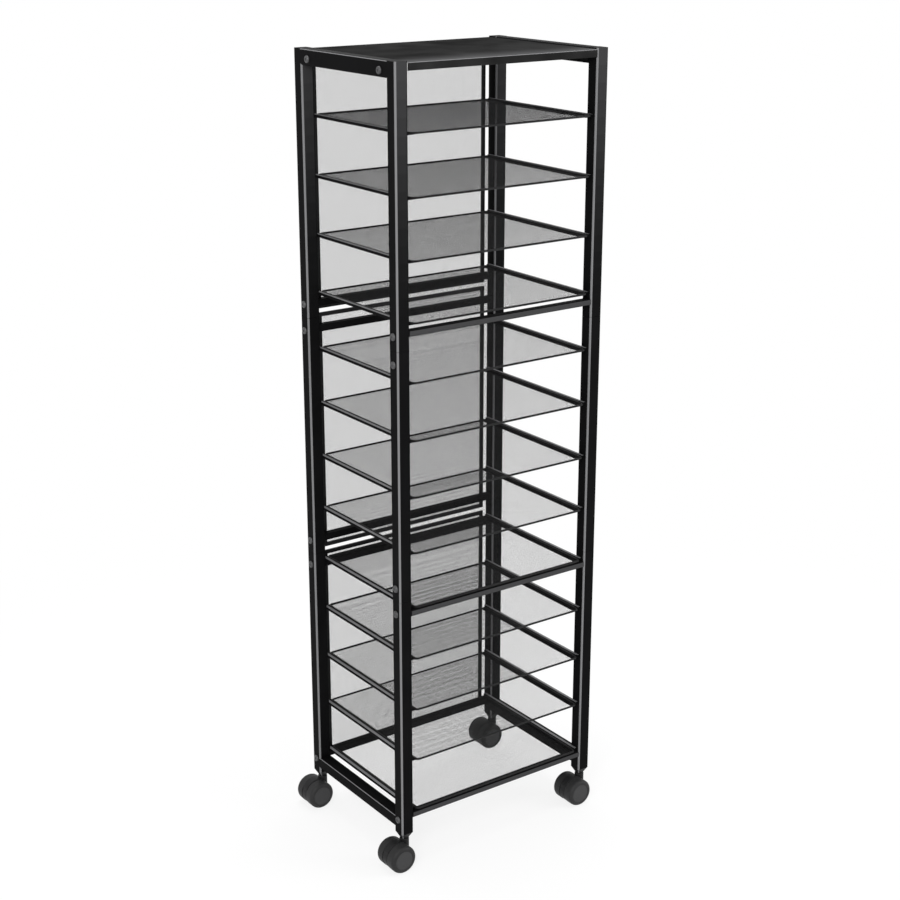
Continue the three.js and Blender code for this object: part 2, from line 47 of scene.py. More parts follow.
# Camera: stands left of the front corner, a little above the cart, and looks down on it.
# Place, tilt and lens come from the straight edges of the frame in the photograph.
EYE = (-1.56625, -2.2030, 1.5616)
TILT_DOWN = math.radians(18.35)
TURN = math.radians(-35.6)
LENS = 67.93
SENSOR = 36.0
VIEW_REACH = 60.0

bpy.ops.object.camera_add(location=EYE, rotation=(math.pi / 2 - TILT_DOWN, 0, TURN))
camera = bpy.context.object
camera.name = "portrait_camera"
camera.data.lens = LENS
camera.data.sensor_width = SENSOR
camera.data.clip_end = VIEW_REACH
bpy.context.scene.camera = camera

# Side frames: in each storey two posts of square steel tube carry flat rails for the trays, and a side
# bar closes the head and the foot of the cart. Tube and rails are welded, then powder coated black.
X, Y, Z = 0, 1, 2
POST = 0.0225
POST_ROUND = 0.0025
TOP_BAR = 0.025
BOTTOM_BAR = 0.020
BOTTOM_BAR_RISE = 0.009
RAIL_WIDTH = 0.006
RAIL_HEIGHT = 0.005
RAIL_LAP = 0.015
RAIL_ROUND = 0.0007
# Width of the rail's top, next to the posts, that shows a painted highlight.
RAIL_HIGHLIGHT = 0.0045
LEDGE_WIDTH = 0.009
LEDGE = 0.0012
LEDGE_DROP = 0.0003
BLACK_COAT = (0.0055, 0.0055, 0.0058)
COAT_ROUGHNESS = 0.48
COAT_SPECULAR = 0.014
COAT_UNEVENNESS = 0.18
GLOSS_SPREAD = 0.06
DRIFT_SCALE = 14.0
DRIFT_DETAIL = 3.0
DRIFT_START = 0.3
DRIFT_END = 0.7
PEEL_SCALE = 900.0
PEEL_DETAIL = 2.0
PEEL_STRENGTH = 0.12
PEEL_HEIGHT = 0.0002
# Colour that a face shows where a highlight is painted on the coat.
HIGHLIGHT_COAT = (0.20, 0.20, 0.205)
# Painted highlight on the upright corners rounded towards this way and the opposite way.
HIGHLIGHT_CORNER = Vector((-1, -1, 0)).normalized()
# Painted sheen on the front of the upper posts, strongest at their heads.
POST_SHEEN = 0.2
POST_BANDS = 16
SMOOTH_ANGLE = math.radians(40)
# Cosines of how far a face or an edge may turn from a direction and still count as lying that way.
CORNER_SPREAD = 0.72
EDGE_SPREAD = 0.98
FACING = 0.9
FLAT = 0.99
STRAIGHT = 0.9

left_low, left_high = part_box("left_side_frame_upper")
right_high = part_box("right_side_frame_upper")[1]
outer_face = {"left": left_low.x, "right": right_high.x}
inward = {"left": 1, "right": -1}
post_middle_x = {side: outer_face[side] + inward[side] * POST / 2 for side in inward}
post_middle_y = {"front": left_low.y + POST / 2, "rear": left_high.y - POST / 2}
bay_front = post_middle_y["front"] + POST / 2
bay_rear = post_middle_y["rear"] - POST / 2
storey_trays = {"upper": range(1, 5), "middle": range(5, 9), "lower": range(9, 14)}


def powder_coat(name, colour, roughness, specular, unevenness=COAT_UNEVENNESS):
    """Sprayed and baked paint: fine orange peel, with a slow drift in shade and gloss."""
    material = bpy.data.materials.new(name)
    material.use_nodes = True
    nodes = material.node_tree.nodes
    links = material.node_tree.links
    shader = nodes["Principled BSDF"]
    shader.inputs["Specular IOR Level"].default_value = specular
    place = nodes.new("ShaderNodeTexCoord")
    drift = nodes.new("ShaderNodeTexNoise")
    drift.inputs["Scale"].default_value = DRIFT_SCALE
    drift.inputs["Detail"].default_value = DRIFT_DETAIL
    shade = nodes.new("ShaderNodeValToRGB")
    shade.color_ramp.elements[0].position = DRIFT_START
    shade.color_ramp.elements[0].color = [(1 - unevenness) * c for c in colour] + [1]
    shade.color_ramp.elements[1].position = DRIFT_END
    shade.color_ramp.elements[1].color = [(1 + unevenness) * c for c in colour] + [1]
    peel = nodes.new("ShaderNodeTexNoise")
    peel.inputs["Scale"].default_value = PEEL_SCALE
    peel.inputs["Detail"].default_value = PEEL_DETAIL
    gloss = nodes.new("ShaderNodeMapRange")
    gloss.inputs["To Min"].default_value = roughness - GLOSS_SPREAD
    gloss.inputs["To Max"].default_value = roughness + GLOSS_SPREAD
    bump = nodes.new("ShaderNodeBump")
    bump.inputs["Strength"].default_value = PEEL_STRENGTH
    bump.inputs["Distance"].default_value = PEEL_HEIGHT
    links.new(place.outputs["Object"], drift.inputs["Vector"])
    links.new(place.outputs["Object"], peel.inputs["Vector"])
    links.new(drift.outputs["Fac"], shade.inputs["Fac"])
    links.new(shade.outputs["Color"], shader.inputs["Base Color"])
    links.new(drift.outputs["Fac"], gloss.inputs["Value"])
    links.new(gloss.outputs["Result"], shader.inputs["Roughness"])
    links.new(peel.outputs["Fac"], bump.inputs["Height"])
    links.new(bump.outputs["Normal"], shader.inputs["Normal"])
    return material


def show_painted_highlight(material, colour):
    """Where a face is marked, the coat shows this lighter colour as a painted highlight."""
    nodes = material.node_tree.nodes
    links = material.node_tree.links
    base = nodes["Principled BSDF"].inputs["Base Color"]
    marks = nodes.new("ShaderNodeAttribute")
    marks.attribute_name = "highlight_paint"
    blend = nodes.new("ShaderNodeMixRGB")
    blend.inputs["Color2"].default_value = (*colour, 1)
    links.new(base.links[0].from_socket, blend.inputs["Color1"])
    links.new(marks.outputs["Fac"], blend.inputs["Fac"])
    links.new(blend.outputs["Color"], base)


def block(name, corner, opposite):
    """Square-cut length of bar between two corners."""
    low = Vector(map(min, corner, opposite))
    high = Vector(map(max, corner, opposite))
    bpy.ops.mesh.primitive_cube_add(size=1, location=(low + high) / 2, scale=high - low)
    bar = bpy.context.object
    bar.name = name
    bpy.ops.object.transform_apply(location=True, rotation=True, scale=True)
    return bar


def pick_edges(piece, wanted):
    """Leaves the piece in edit mode with only the wanted edges selected."""
    bpy.ops.object.mode_set(mode="EDIT")
    bpy.ops.mesh.select_mode(type="EDGE")
    bpy.ops.mesh.select_all(action="DESELECT")
    bpy.ops.object.mode_set(mode="OBJECT")
    points = piece.data.vertices
    for edge in piece.data.edges:
        edge.select = wanted(points[edge.vertices[0]].co, points[edge.vertices[1]].co)
    bpy.ops.object.mode_set(mode="EDIT")


def pick_faces(piece, wanted):
    """Leaves the piece in edit mode with only the wanted faces selected."""
    bpy.ops.object.mode_set(mode="EDIT")
    bpy.ops.mesh.select_mode(type="FACE")
    bpy.ops.mesh.select_all(action="DESELECT")
    bpy.ops.object.mode_set(mode="OBJECT")
    for face in piece.data.polygons:
        face.select = wanted(face)
    bpy.ops.object.mode_set(mode="EDIT")


def round_edges(piece, wanted, radius, steps):
    """Rounds the wanted edges."""
    pick_edges(piece, wanted)
    bpy.ops.mesh.bevel(offset=radius, segments=steps, affect="EDGES")
    bpy.ops.object.mode_set(mode="OBJECT")


def mark_painted_highlight(piece, amount):
    """Marks each face with how strongly it shows the painted highlight, for a coat that shows it."""
    marks = piece.data.attributes.new("highlight_paint", "FLOAT", "FACE")
    for face in piece.data.polygons:
        marks.data[face.index].value = float(amount(face))


def cut_bands(piece, count, wanted):
    """Cuts the wanted edges, and the faces between them, into bands of equal length."""
    pick_edges(piece, wanted)
    bpy.ops.mesh.subdivide(number_cuts=count - 1)
    bpy.ops.object.mode_set(mode="OBJECT")


def on_highlit_corner(face):
    """Picks the rounding of the upright corners that face the front left and the rear right, for a painted
    highlight.
    """
    return abs(face.normal.dot(HIGHLIGHT_CORNER)) > CORNER_SPREAD


def along(axis):
    """Picks the edges that run along one axis."""
    return lambda a, b: abs((b - a)[axis]) > STRAIGHT * (b - a).length


def welded(name, pieces):
    """Joins the pieces into one object."""
    bpy.ops.object.select_all(action="DESELECT")
    for piece in pieces:
        piece.select_set(True)
    bpy.context.view_layer.objects.active = pieces[0]
    bpy.ops.object.join()
    pieces[0].name = name
    return pieces[0]


def finish_piece(piece, material, slot, body, *nodes):
    """Smooth shading with true flats, then finish, body and the CAD nodes it stands for."""
    bpy.ops.object.select_all(action="DESELECT")
    piece.select_set(True)
    bpy.context.view_layer.objects.active = piece
    bpy.ops.object.shade_smooth_by_angle(angle=SMOOTH_ANGLE)
    flats = piece.modifiers.new("true_flats", "WEIGHTED_NORMAL")
    flats.keep_sharp = True
    bpy.ops.object.modifier_apply(modifier=flats.name)
    piece.data.materials.clear()
    piece.data.materials.append(material)
    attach(piece, body)
    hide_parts(*nodes)
    piece.select_set(False)


black_coat = powder_coat("black_coat", BLACK_COAT, COAT_ROUGHNESS, COAT_SPECULAR)
# Painted highlight on the black coat wherever a face is marked for one.
show_painted_highlight(black_coat, HIGHLIGHT_COAT)


def post(side, end, storey, foot, head):
    """Upright tube with a painted highlight on two corners and, upper storey only, a painted sheen up its
    front.
    """
    middle = Vector((post_middle_x[side], post_middle_y[end], 0))
    half = Vector((POST / 2, POST / 2, 0))
    tube = block("post", middle - half + Vector((0, 0, foot)), middle + half + Vector((0, 0, head)))
    round_edges(tube, along(Z), POST_ROUND, steps=4)
    # Bands up the tube, so that the painted sheen can grow towards the head.
    if storey == "upper":
        cut_bands(tube, POST_BANDS, along(Z))

    # Painted sheen on the upper front faces, painted highlight on the two corners.
    def painted_light(face):
        if storey == "upper" and face.normal.y < -FLAT:
            return POST_SHEEN * ((face.center.z - foot) / (head - foot)) ** 2
        return on_highlit_corner(face)

    mark_painted_highlight(tube, painted_light)
    return tube


def side_bar(side, foot, head):
    """Tube between the front and the rear post of one side."""
    outer = outer_face[side]
    inner = outer + inward[side] * POST
    tube = block("side_bar", (outer, bay_front - POST_ROUND, foot), (inner, bay_rear + POST_ROUND, head))
    round_edges(tube, along(Y), POST_ROUND, steps=6)
    # Painted highlight along the upper outer rounded edge.
    upper_edge = Vector((-inward[side], 0, 1)).normalized()
    mark_painted_highlight(tube, lambda face: face.normal.dot(upper_edge) > EDGE_SPREAD)
    return tube


def rail(side, tray):
    """Flat bar beside a tray, with the thin ledge that the tray lies on."""
    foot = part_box(tray)[0].z - LEDGE_DROP - LEDGE
    wall = outer_face[side] + inward[side] * POST
    tip = wall + inward[side] * RAIL_WIDTH
    ends = bay_front - RAIL_LAP, bay_rear + RAIL_LAP
    root = wall - inward[side] * RAIL_ROUND
    bar = block("rail", (root, ends[0], foot), (tip, ends[1], foot + RAIL_HEIGHT))
    round_edges(bar, along(Y), RAIL_ROUND, steps=2)
    # The part of the top next to the posts shows a painted highlight; the rest stays dark.
    highlight_edge = wall + inward[side] * RAIL_HIGHLIGHT
    bpy.ops.object.mode_set(mode="EDIT")
    bpy.ops.mesh.select_all(action="SELECT")
    bpy.ops.mesh.bisect(plane_co=(highlight_edge, 0, foot), plane_no=(1, 0, 0))
    bpy.ops.object.mode_set(mode="OBJECT")
    mark_painted_highlight(bar, lambda face: face.normal.z > FACING and abs(face.center.x - wall) < RAIL_HIGHLIGHT)
    ledge_root = tip - inward[side] * LEDGE
    ledge_tip = tip + inward[side] * LEDGE_WIDTH
    ledge = block("ledge", (ledge_root, ends[0], foot), (ledge_tip, ends[1], foot + LEDGE))
    round_edges(ledge, along(Y), LEDGE / 4, steps=1)
    return welded("rail", [bar, ledge])


for storey, numbers in storey_trays.items():
    for side in inward:
        node = f"{side}_side_frame_{storey}"
        low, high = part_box(node)
        pieces = [post(side, end, storey, low.z, high.z) for end in post_middle_y]
        if storey == "upper":
            pieces.append(side_bar(side, high.z - TOP_BAR, high.z))
        if storey == "lower":
            foot = low.z + BOTTOM_BAR_RISE
            pieces.append(side_bar(side, foot, foot + BOTTOM_BAR))
        pieces += [rail(side, f"tray_{number:02d}") for number in numbers]
        finish_piece(welded(f"{node}_welded", pieces), black_coat, "black_coat", "frame", node)

# Splices: a square sleeve inside two stacked posts, held by a button-head bolt above the seam and one
# below. Pressed and plated steel; the heads stand on the outer faces of the posts, and one more holds
# the plug in the foot of each post.
SLEEVE = 0.0186
SLEEVE_ROUND = 0.002
BOLT_OFFSET = 0.022
HEAD_RADIUS = 0.006
HEAD_HEIGHT = 0.0028
HEAD_ROUND = 0.0022
SOCKET_RADIUS = 0.0022
SOCKET_DEPTH = 0.0008
FOOT_BOLT_RISE = 0.025
BOLT_SIDES = 24
BOLT_STEEL = (0.085, 0.085, 0.087)
PLATE_ROUGHNESS = 0.38
PLATE_SPECULAR = 0.3
PLATE_METAL = 0.6
TOUCH = 1e-5


def plated_steel(name, colour):
    """Dull zinc plate: metal with a fine pitted skin and a slow drift in shade."""
    material = powder_coat(name, colour, PLATE_ROUGHNESS, PLATE_SPECULAR)
    material.node_tree.nodes["Principled BSDF"].inputs["Metallic"].default_value = PLATE_METAL
    return material


bolt_steel = plated_steel("bolt_steel", BOLT_STEEL)


def level_with(axis, value):
    """Picks the edges that lie at one place along an axis."""
    return lambda a, b: abs(a[axis] - value) < TOUCH and abs(b[axis] - value) < TOUCH


def round_end(axis, value):
    """Picks the many-sided end face of a round piece that lies at one place along an axis."""
    return lambda face: len(face.vertices) > 4 and abs(face.center[axis] - value) < TOUCH


def button_bolt(side, y, z):
    """Button head on the outer face of a post, with a round socket for the key."""
    outer = outer_face[side]
    out = -inward[side]
    middle = outer + out * HEAD_HEIGHT / 2
    bpy.ops.mesh.primitive_cylinder_add(
        vertices=BOLT_SIDES,
        radius=HEAD_RADIUS,
        depth=HEAD_HEIGHT,
        location=(middle, y, z),
        rotation=(0, math.pi / 2, 0),
    )
    bolt = bpy.context.object
    bpy.ops.object.transform_apply(location=True, rotation=True, scale=True)
    tip = outer + out * HEAD_HEIGHT
    round_edges(bolt, level_with(X, tip), HEAD_ROUND, steps=4)
    pick_faces(bolt, round_end(X, tip))
    bpy.ops.mesh.inset(thickness=HEAD_RADIUS - HEAD_ROUND - SOCKET_RADIUS)
    bpy.ops.mesh.extrude_region_move(TRANSFORM_OT_translate={"value": (-out * SOCKET_DEPTH, 0, 0)})
    bpy.ops.object.mode_set(mode="OBJECT")
    return bolt


for seam in ("upper", "lower"):
    for side in inward:
        for end in post_middle_y:
            node = f"splice_{end}_{side}_{seam}"
            low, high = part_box(node)
            seam_z = (low.z + high.z) / 2
            middle = Vector((post_middle_x[side], post_middle_y[end], 0))
            half = Vector((SLEEVE / 2, SLEEVE / 2, 0))
            foot = middle - half + Vector((0, 0, low.z))
            head = middle + half + Vector((0, 0, high.z))
            sleeve = block("sleeve", foot, head)
            round_edges(sleeve, along(Z), SLEEVE_ROUND, steps=2)
            bolts = [button_bolt(side, middle.y, seam_z + way * BOLT_OFFSET) for way in (-1, 1)]
            splice = welded(f"{node}_bolted", [sleeve] + bolts)
            finish_piece(splice, bolt_steel, "bolt_steel", "frame", node)

post_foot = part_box("left_side_frame_lower")[0].z
for side in inward:
    bolts = [button_bolt(side, y, post_foot + FOOT_BOLT_RISE) for y in post_middle_y.values()]
    finish_piece(welded(f"foot_bolts_{side}", bolts), bolt_steel, "bolt_steel", "frame")

# Crossbars: flat tubes across the front and the rear that hold the two sides apart. Welded steel,
# coated with the posts, with a painted sheen on the front faces of the front bars.
BAR_ROUND = 0.002
BAR_SHEEN = 0.22

for node in [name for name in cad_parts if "_crossbar_" in name]:
    low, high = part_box(node)
    bar = block(f"{node}_tube", low, high)
    round_edges(bar, along(X), BAR_ROUND, steps=3)
    # Painted sheen on the front faces of the front crossbars.
    painted_light = BAR_SHEEN if node.startswith("front") else 0
    mark_painted_highlight(bar, lambda face: painted_light * (face.normal.y < -FACING))
    finish_piece(bar, black_coat, "black_coat", "frame", node)

# Top panel: one sheet of steel folded down at the front and the rear and flanged along the sides, set
# just below the side bars and bolted through them. Coated black, a little greyer than the tubes, with a
# painted highlight on the front fold and a painted sheen on the flat behind it that fades to the rear.
SHEET = 0.0012
RECESS = 0.002
LIP = 0.012
FLANGE = 0.018
FOLD_ROUND = 0.0015
PANEL_GAP = 0.00025
TOP_BOLT_INSET = 0.018
TOP_BOLT_DROP = 0.015
PANEL_COAT = (0.020, 0.020, 0.020)
PANEL_ROUGHNESS = 0.6
PANEL_SPECULAR = 0.0
PANEL_UNEVENNESS = 0.35
# Strength and reach of the painted sheen behind the front fold.
PANEL_SHEEN = 0.35
PANEL_SHEEN_REACH = 0.09
PANEL_BANDS = 60

panel_coat = powder_coat("panel_coat", PANEL_COAT, PANEL_ROUGHNESS, PANEL_SPECULAR, PANEL_UNEVENNESS)
show_painted_highlight(panel_coat, HIGHLIGHT_COAT)
low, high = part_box("top_panel")
panel_left = outer_face["left"] + POST + PANEL_GAP
panel_right = outer_face["right"] - POST - PANEL_GAP
panel_top = left_high.z - RECESS
bpy.ops.mesh.primitive_plane_add(
    size=1,
    location=((panel_left + panel_right) / 2, (low.y + high.y) / 2, panel_top),
)
sheet = bpy.context.object
sheet.scale = (panel_right - panel_left, high.y - low.y, 1)
bpy.ops.object.transform_apply(location=True, rotation=True, scale=True)
pick_edges(sheet, along(X))
bpy.ops.mesh.extrude_region_move(TRANSFORM_OT_translate={"value": (0, 0, -LIP)})
bpy.ops.object.mode_set(mode="OBJECT")
wall = sheet.modifiers.new("wall", "SOLIDIFY")
wall.thickness = SHEET
wall.offset = -1
bpy.ops.object.modifier_apply(modifier=wall.name)
round_edges(sheet, lambda a, b: along(X)(a, b) and a.z > panel_top - SHEET / 2, FOLD_ROUND, steps=4)
# Bands from front to rear, so that the painted sheen can fade.
cut_bands(sheet, PANEL_BANDS, lambda a, b: along(Y)(a, b) and (b - a).length > PANEL_SHEEN_REACH)
front_fold = Vector((0, -1, 1)).normalized()
panel_front = low.y


def panel_sheen(face):
    """Painted highlight on the front fold, and a painted sheen on the flat behind it that fades to the
    rear.
    """
    if face.normal.z > FLAT:
        nearness = 1 - (face.center.y - panel_front) / PANEL_SHEEN_REACH
        return PANEL_SHEEN * max(nearness, 0) ** 2
    return face.normal.dot(front_fold) > FACING


mark_painted_highlight(sheet, panel_sheen)
panel_pieces = [sheet]
top_bolts = []
for side, edge in (("left", panel_left), ("right", panel_right)):
    flange_foot = panel_top - FLANGE
    flange_head = panel_top - SHEET / 2
    flange_inside = edge + inward[side] * SHEET
    flange = block("flange", (edge, bay_front, flange_foot), (flange_inside, bay_rear, flange_head))
    round_edges(flange, along(Y), SHEET / 4, steps=1)
    panel_pieces.append(flange)
    for y in (bay_front + TOP_BOLT_INSET, bay_rear - TOP_BOLT_INSET):
        top_bolts.append(button_bolt(side, y, left_high.z - TOP_BOLT_DROP))
finish_piece(welded("top_panel_folded", panel_pieces), panel_coat, "panel_coat", "frame", "top_panel")
finish_piece(welded("top_panel_bolts", top_bolts), bolt_steel, "bolt_steel", "frame", "top_panel")

# Back panels: a flat steel strip frame round a fine woven wire net, one for each storey, standing
# against the rear crossbars. Coated black after weaving.
STRIP = 0.0068
STRIP_ROUND = 0.0006
BACK_PITCH = 0.0011
BACK_WIRE = 0.00022
WIRE_SIDES = 6
WIRE_COAT = (0.009, 0.009, 0.0095)
WIRE_ROUGHNESS = 0.45
WIRE_SPECULAR = 0.15

black_wire = powder_coat("black_wire", WIRE_COAT, WIRE_ROUGHNESS, WIRE_SPECULAR)


def across(axis):
    """Picks the edges that lie square to one axis."""
    return lambda a, b: abs((b - a)[axis]) < TOUCH


def wires(axis, spread, low, high, pitch, thick, lift):
    """Parallel wires along one axis, spread over another, side by side at the pitch."""
    size = high - low
    count = int(size[spread] / pitch)
    start = (low + high) / 2 + lift
    start[spread] = low[spread] + (size[spread] - (count - 1) * pitch) / 2
    turn = {X: (0, math.pi / 2, 0), Y: (math.pi / 2, 0, 0), Z: (0, 0, 0)}[axis]
    bpy.ops.mesh.primitive_cylinder_add(
        vertices=WIRE_SIDES,
        radius=thick / 2,
        depth=size[axis],
        location=start,
        rotation=turn,
    )
    row = bpy.context.object
    bpy.ops.object.transform_apply(location=True, rotation=True, scale=True)
    repeat = row.modifiers.new("row", "ARRAY")
    repeat.use_relative_offset = False
    repeat.use_constant_offset = True
    step = Vector((0, 0, 0))
    step[spread] = pitch
    repeat.constant_offset_displace = step
    repeat.count = count
    bpy.ops.object.modifier_apply(modifier=repeat.name)
    return row


for storey in storey_trays:
    node = f"back_panel_{storey}"
    low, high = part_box(node)
    middle = (low + high) / 2
    face_middle = (middle.x, low.y, middle.z)
    bpy.ops.mesh.primitive_plane_add(size=1, location=face_middle, rotation=(math.pi / 2, 0, 0))
    strip = bpy.context.object
    strip.scale = (high.x - low.x, high.z - low.z, 1)
    bpy.ops.object.transform_apply(location=True, rotation=True, scale=True)
    bpy.ops.object.mode_set(mode="EDIT")
    bpy.ops.mesh.select_all(action="SELECT")
    bpy.ops.mesh.inset(thickness=STRIP)
    bpy.ops.mesh.delete(type="FACE")
    bpy.ops.mesh.select_all(action="SELECT")
    bpy.ops.mesh.extrude_region_move(TRANSFORM_OT_translate={"value": (0, high.y - low.y, 0)})
    bpy.ops.mesh.select_all(action="SELECT")
    bpy.ops.mesh.normals_make_consistent(inside=False)
    bpy.ops.object.mode_set(mode="OBJECT")
    round_edges(strip, across(Y), STRIP_ROUND, steps=2)
    inset = Vector((STRIP / 2, 0, STRIP / 2))
    lift = Vector((0, BACK_WIRE / 2, 0))
    upright = wires(Z, X, low + inset, high - inset, BACK_PITCH, BACK_WIRE, lift)
    level = wires(X, Z, low + inset, high - inset, BACK_PITCH, BACK_WIRE, -lift)
    panel = welded(f"{node}_woven", [strip, upright, level])
    finish_piece(panel, black_wire, "black_wire", "frame", node)

# Trays: a loop of steel wire with rounded corners, and a fine wire net welded across it. Each lies
# loose between its two rails and draws out to the front.
RIM = 0.0035
RIM_STEPS = 3
TRAY_CORNER = 0.008
CORNER_STEPS = 6
TRAY_PITCH = 0.0011
TRAY_WIRE = 0.000117

low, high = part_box("tray_01")
middle = (low + high) / 2
bpy.ops.mesh.primitive_plane_add(size=1, location=middle)
rim = bpy.context.object
rim.scale = (high.x - low.x - RIM, high.y - low.y - RIM, 1)
bpy.ops.object.transform_apply(location=True, rotation=True, scale=True)
bpy.ops.object.mode_set(mode="EDIT")
bpy.ops.mesh.select_all(action="SELECT")
bpy.ops.mesh.bevel(offset=TRAY_CORNER - RIM / 2, segments=CORNER_STEPS, affect="VERTICES")
bpy.ops.mesh.select_all(action="SELECT")
bpy.ops.mesh.delete(type="ONLY_FACE")
bpy.ops.object.mode_set(mode="OBJECT")
bpy.ops.object.convert(target="CURVE")
rim = bpy.context.object
rim.data.bevel_depth = RIM / 2
rim.data.bevel_resolution = RIM_STEPS
bpy.ops.object.convert(target="MESH")
rim = bpy.context.object
inset = Vector((RIM / 2, RIM / 2, 0))
lift = Vector((0, 0, TRAY_WIRE / 2))
lengthwise = wires(Y, X, low + inset, high - inset, TRAY_PITCH, TRAY_WIRE, lift)
crosswise = wires(X, Y, low + inset, high - inset, TRAY_PITCH, TRAY_WIRE, -lift)
net = welded("net", [lengthwise, crosswise])
bpy.ops.object.mode_set(mode="EDIT")
for x, way_x in ((low.x, 1), (high.x, -1)):
    for y, way_y in ((low.y, 1), (high.y, -1)):
        turn_middle = Vector((x + way_x * TRAY_CORNER, y + way_y * TRAY_CORNER, middle.z))
        out = Vector((-way_x, -way_y, 0)).normalized()
        bpy.ops.mesh.select_all(action="SELECT")
        bpy.ops.mesh.bisect(
            plane_co=turn_middle + out * (TRAY_CORNER - RIM / 2),
            plane_no=out,
            clear_outer=True,
            use_fill=True,
        )
bpy.ops.object.mode_set(mode="OBJECT")
pattern = welded("tray_pattern", [rim, net])
for numbers in storey_trays.values():
    for number in numbers:
        node = f"tray_{number:02d}"
        mesh = pattern.data.copy()
        mesh.transform(Matrix.Translation((0, 0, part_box(node)[0].z - low.z)))
        copy = bpy.data.objects.new(f"{node}_woven", mesh)
        bpy.context.scene.collection.objects.link(copy)
        finish_piece(copy, black_wire, "black_wire", node, node)
bpy.data.objects.remove(pattern)

# Casters: a tapered plug fills the foot of each post and ends in a steel stem. A moulded hood turns on
# the stem and carries two nylon wheels on a steel pin, one in front of it and one behind.
PLUG_FOOT = 0.012
PLUG_TAPER = 0.010
STEM_RADIUS = 0.0035
TRAIL = 0.016
WHEEL_SHOULDER = 0.006
WHEEL_RIM = 0.007
WHEEL_DISH = 0.0008
WHEEL_INNER_ROUND = 0.0005
HOOD_RADIUS = 0.0246
WEB_RADIUS = 0.0236
HOOD_WIDTH = 0.013
HOOD_SWEEP = math.radians(150)
SWEEP_MARGIN = 0.01
HOOD_ROUND = 0.0012
BOSS_RADIUS = 0.008
BOSS_ROUND = 0.0015
ROUND_STEPS = 72
CASTER_PLASTIC = (0.013, 0.013, 0.0135)
WHEEL_PLASTIC = (0.024, 0.024, 0.0245)
# Colour of the painted sheen on the dished outer face of each wheel.
WHEEL_FACE_SHEEN = (0.046, 0.046, 0.047)
NYLON_ROUGHNESS = 0.5
NYLON_SPECULAR = 0.15
PIN_STEEL = (0.32, 0.32, 0.33)


def moulded_nylon(name, colour, highlight_paint):
    """Moulded nylon: an even satin skin with a fine spark-eroded grain, and a painted highlight on marked
    faces.
    """
    material = powder_coat(name, colour, NYLON_ROUGHNESS, NYLON_SPECULAR)
    show_painted_highlight(material, highlight_paint)
    return material


def turned(name, radius, start, end):
    """Round bar from one point to another, straight along Y or Z."""
    start = Vector(start)
    end = Vector(end)
    lying = abs(end.y - start.y) > abs(end.z - start.z)
    bpy.ops.mesh.primitive_cylinder_add(
        vertices=ROUND_STEPS,
        radius=radius,
        depth=(end - start).length,
        location=(start + end) / 2,
        rotation=(math.pi / 2 if lying else 0, 0, 0),
    )
    bar = bpy.context.object
    bar.name = name
    bpy.ops.object.transform_apply(location=True, rotation=True, scale=True)
    return bar


def plug(corner, x, y):
    """Square plug that tapers from the post to the stem."""
    head = post_foot
    foot = head - PLUG_TAPER
    half = POST / 2
    taper = block(f"plug_{corner}", (x - half, y - half, foot), (x + half, y + half, head))
    pick_faces(taper, lambda face: face.normal.z < -FACING)
    shrink = PLUG_FOOT / POST
    bpy.ops.transform.resize(value=(shrink, shrink, 1), center_override=(x, y, foot))
    bpy.ops.object.mode_set(mode="OBJECT")
    round_edges(taper, lambda a, b: abs(a.z - b.z) > PLUG_TAPER / 2, POST_ROUND, steps=4)
    # Painted highlight continues down the taper's two corners.
    mark_painted_highlight(taper, on_highlit_corner)
    stem_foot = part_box(f"caster_stem_{corner}")[0].z
    stem = turned("stem", STEM_RADIUS, (x, y, stem_foot), (x, y, foot + STEM_RADIUS))
    return welded(f"caster_plug_{corner}", [taper, stem])


def hood(corner, x, y):
    """Web between the wheels with a rounded hood over it and the boss that takes the stem."""
    low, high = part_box(f"caster_wheel_front_{corner}")
    axle = Vector((x - TRAIL, y, (low.z + high.z) / 2))
    half = Vector((0, HOOD_WIDTH / 2, 0))
    web = turned("web", HOOD_RADIUS, axle - half, axle + half)
    pick_edges(web, lambda a, b: False)
    bpy.ops.mesh.select_mode(type="VERT")
    bpy.ops.object.mode_set(mode="OBJECT")
    for point in web.data.vertices:
        angle = math.atan2(point.co.z - axle.z, point.co.x - axle.x)
        point.select = not -SWEEP_MARGIN < angle < HOOD_SWEEP + SWEEP_MARGIN
    bpy.ops.object.mode_set(mode="EDIT")
    shrink = WEB_RADIUS / HOOD_RADIUS
    bpy.ops.transform.resize(value=(shrink, 1, shrink), center_override=axle)
    bpy.ops.object.mode_set(mode="OBJECT")
    round_edges(web, across(Y), HOOD_ROUND, steps=3)
    boss_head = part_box(f"caster_housing_{corner}")[1].z
    boss = turned("boss", BOSS_RADIUS, (x, y, axle.z + BOSS_RADIUS), (x, y, boss_head))
    round_edges(boss, level_with(Z, boss_head), BOSS_ROUND, steps=4)
    return welded(f"caster_hood_{corner}", [web, boss])


def wheel(node, way):
    """Rounded drum with a shallow dish in its outer face."""
    low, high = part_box(node)
    middle = (low + high) / 2
    outer, inner = (low.y, high.y) if way < 0 else (high.y, low.y)
    start = (middle.x, outer, middle.z)
    drum = turned(f"{node}_moulded", (high.z - low.z) / 2, start, (middle.x, inner, middle.z))
    round_edges(drum, level_with(Y, inner), WHEEL_INNER_ROUND, steps=2)
    round_edges(drum, level_with(Y, outer), WHEEL_SHOULDER, steps=6)
    pick_faces(drum, round_end(Y, outer))
    bpy.ops.mesh.inset(thickness=WHEEL_RIM - WHEEL_SHOULDER)
    bpy.ops.mesh.inset(thickness=WHEEL_DISH, depth=-WHEEL_DISH)
    bpy.ops.object.mode_set(mode="OBJECT")
    # The dish in the outer face shows a painted sheen.
    mark_painted_highlight(drum, lambda face: face.select)
    return drum


